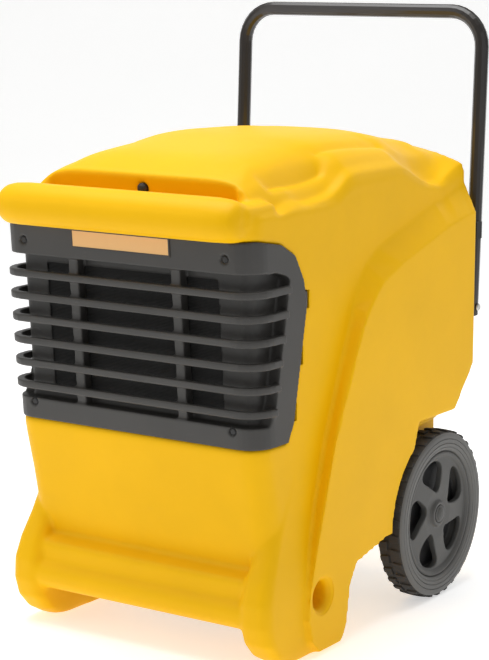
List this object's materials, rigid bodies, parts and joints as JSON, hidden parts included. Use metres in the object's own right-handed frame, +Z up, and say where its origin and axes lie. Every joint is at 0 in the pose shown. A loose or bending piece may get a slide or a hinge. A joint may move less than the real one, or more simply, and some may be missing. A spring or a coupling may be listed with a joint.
{
  "type": "portable dehumidifier",
  "caption": "Commercial refrigerant dehumidifier: moulded shell with a wrap-around intake grille, two large rear wheels and a fold-back tube handle.",
  "frame": {"origin": "on the floor under the middle of the overall depth and width", "axes": "+Z up, intake grille faces -Y, handle at +Y, +X to the right seen from the front"},
  "size_m": [0.557, 0.779, 1.0365],
  "materials": {
    "accumulator": "satin",
    "air_filter": "matte",
    "axle": "satin",
    "axle_saddle_left": "satin",
    "axle_saddle_right": "satin",
    "axle_washer_left": "satin",
    "axle_washer_right": "satin",
    "badge_plate": "satin",
    "base_plate": "satin",
    "button_down": "satin",
    "button_up": "satin",
    "clamp_knob_left": "satin",
    "clamp_knob_right": "satin",
    "compressor": "satin",
    "compressor_grommet_1": "matte",
    "compressor_grommet_2": "matte",
    "compressor_grommet_3": "matte",
    "condensate_pump": "satin",
    "condenser_coil": "satin",
    "control_box": "satin",
    "control_panel": "satin",
    "discharge_pipe": "satin",
    "display_window": "gloss",
    "drain_hose": "satin",
    "drain_spigot": "satin",
    "drip_tray": "satin",
    "evaporator_coil": "satin",
    "fan_impeller": "satin",
    "fan_motor": "satin",
    "fan_motor_bracket": "satin",
    "fan_shroud": "satin",
    "filter_drier": "satin",
    "front_grille": "satin",
    "grille_screw_1": "satin",
    "grille_screw_2": "satin",
    "grille_screw_3": "satin",
    "grille_screw_4": "satin",
    "handle_bracket_left": "satin",
    "handle_bracket_right": "satin",
    "handle_plug_left": "satin",
    "handle_plug_right": "satin",
    "handle_rest_left": "matte",
    "handle_rest_right": "matte",
    "handle_tube": "gloss",
    "housing_shell": "satin",
    "hub_cap_left": "satin",
    "hub_cap_right": "satin",
    "humidistat_knob": "satin",
    "liquid_pipe": "satin",
    "main_switch": "gloss",
    "pivot_bolt_left": "satin",
    "pivot_bolt_right": "satin",
    "power_inlet": "satin",
    "rear_cover": "satin",
    "recess_plug": "satin",
    "suction_pipe": "satin",
    "tyre_left": "matte",
    "tyre_right": "matte",
    "wheel_rim_left": "satin",
    "wheel_rim_right": "satin"
  },
  "bodies": {
    "chassis": {"accumulator": "accumulator", "air_filter": "air_filter", "axle": "axle", "axle_saddle_left": "axle_saddle_left", "axle_saddle_right": "axle_saddle_right", "axle_washer_left": "axle_washer_left", "axle_washer_right": "axle_washer_right", "badge_plate": "badge_plate", "base_plate": "base_plate", "clamp_knob_left": "clamp_knob_left", "clamp_knob_right": "clamp_knob_right", "compressor": "compressor", "compressor_grommet_1": "compressor_grommet_1", "compressor_grommet_2": "compressor_grommet_2", "compressor_grommet_3": "compressor_grommet_3", "condensate_pump": "condensate_pump", "condenser_coil": "condenser_coil", "control_box": "control_box", "control_panel": "control_panel", "discharge_pipe": "discharge_pipe", "display_window": "display_window", "drain_hose": "drain_hose", "drain_spigot": "drain_spigot", "drip_tray": "drip_tray", "evaporator_coil": "evaporator_coil", "fan_motor": "fan_motor", "fan_motor_bracket": "fan_motor_bracket", "fan_shroud": "fan_shroud", "filter_drier": "filter_drier", "front_grille": "front_grille", "grille_screw_1": "grille_screw_1", "grille_screw_2": "grille_screw_2", "grille_screw_3": "grille_screw_3", "grille_screw_4": "grille_screw_4", "handle_bracket_left": "handle_bracket_left", "handle_bracket_right": "handle_bracket_right", "handle_rest_left": "handle_rest_left", "handle_rest_right": "handle_rest_right", "housing_shell": "housing_shell", "liquid_pipe": "liquid_pipe", "pivot_bolt_left": "pivot_bolt_left", "pivot_bolt_right": "pivot_bolt_right", "power_inlet": "power_inlet", "rear_cover": "rear_cover", "recess_plug": "recess_plug", "suction_pipe": "suction_pipe"},
    "wheel_left": {"tyre_left": "tyre_left", "wheel_rim_left": "wheel_rim_left", "hub_cap_left": "hub_cap_left"},
    "wheel_right": {"tyre_right": "tyre_right", "wheel_rim_right": "wheel_rim_right", "hub_cap_right": "hub_cap_right"},
    "fan": {"fan_impeller": "fan_impeller"},
    "handle": {"handle_tube": "handle_tube", "handle_plug_left": "handle_plug_left", "handle_plug_right": "handle_plug_right"},
    "main_switch": {"main_switch": "main_switch"},
    "humidistat_knob": {"humidistat_knob": "humidistat_knob"},
    "button_up": {"button_up": "button_up"},
    "button_down": {"button_down": "button_down"}
  },
  "joints": [
    {"name": "left_wheel_spin", "type": "hinge", "parent": "chassis", "child": "wheel_left", "pos_m": [-0.2535, 0.21047, 0.15], "axis": [1, 0, 0], "continuous": true},
    {"name": "right_wheel_spin", "type": "hinge", "parent": "chassis", "child": "wheel_right", "pos_m": [0.2535, 0.21047, 0.15], "axis": [1, 0, 0], "continuous": true},
    {"name": "fan_spin", "type": "hinge", "parent": "chassis", "child": "fan", "pos_m": [0, -0.08453, 0.49], "axis": [0, 1, 0], "continuous": true},
    {"name": "handle_fold", "type": "hinge", "parent": "chassis", "child": "handle", "pos_m": [0, 0.35397, 0.5], "axis": [-1, 0, 0], "range_deg": [0, 150]},
    {"name": "switch_rock", "type": "hinge", "parent": "chassis", "child": "main_switch", "pos_m": [0.105, 0.33927, 0.65], "axis": [1, 0, 0], "range_deg": [-8, 8]},
    {"name": "humidistat_turn", "type": "hinge", "parent": "chassis", "child": "humidistat_knob", "pos_m": [0.045, 0.34147, 0.65], "axis": [0, 1, 0], "range_deg": [-135, 135]},
    {"name": "up_button_press", "type": "slide", "parent": "chassis", "child": "button_up", "axis": [0, -1, 0], "range_m": [0, 0.0018], "stiffness_N_per_m": 300},
    {"name": "down_button_press", "type": "slide", "parent": "chassis", "child": "button_down", "axis": [0, -1, 0], "range_m": [0, 0.0018], "stiffness_N_per_m": 300}
  ]
}
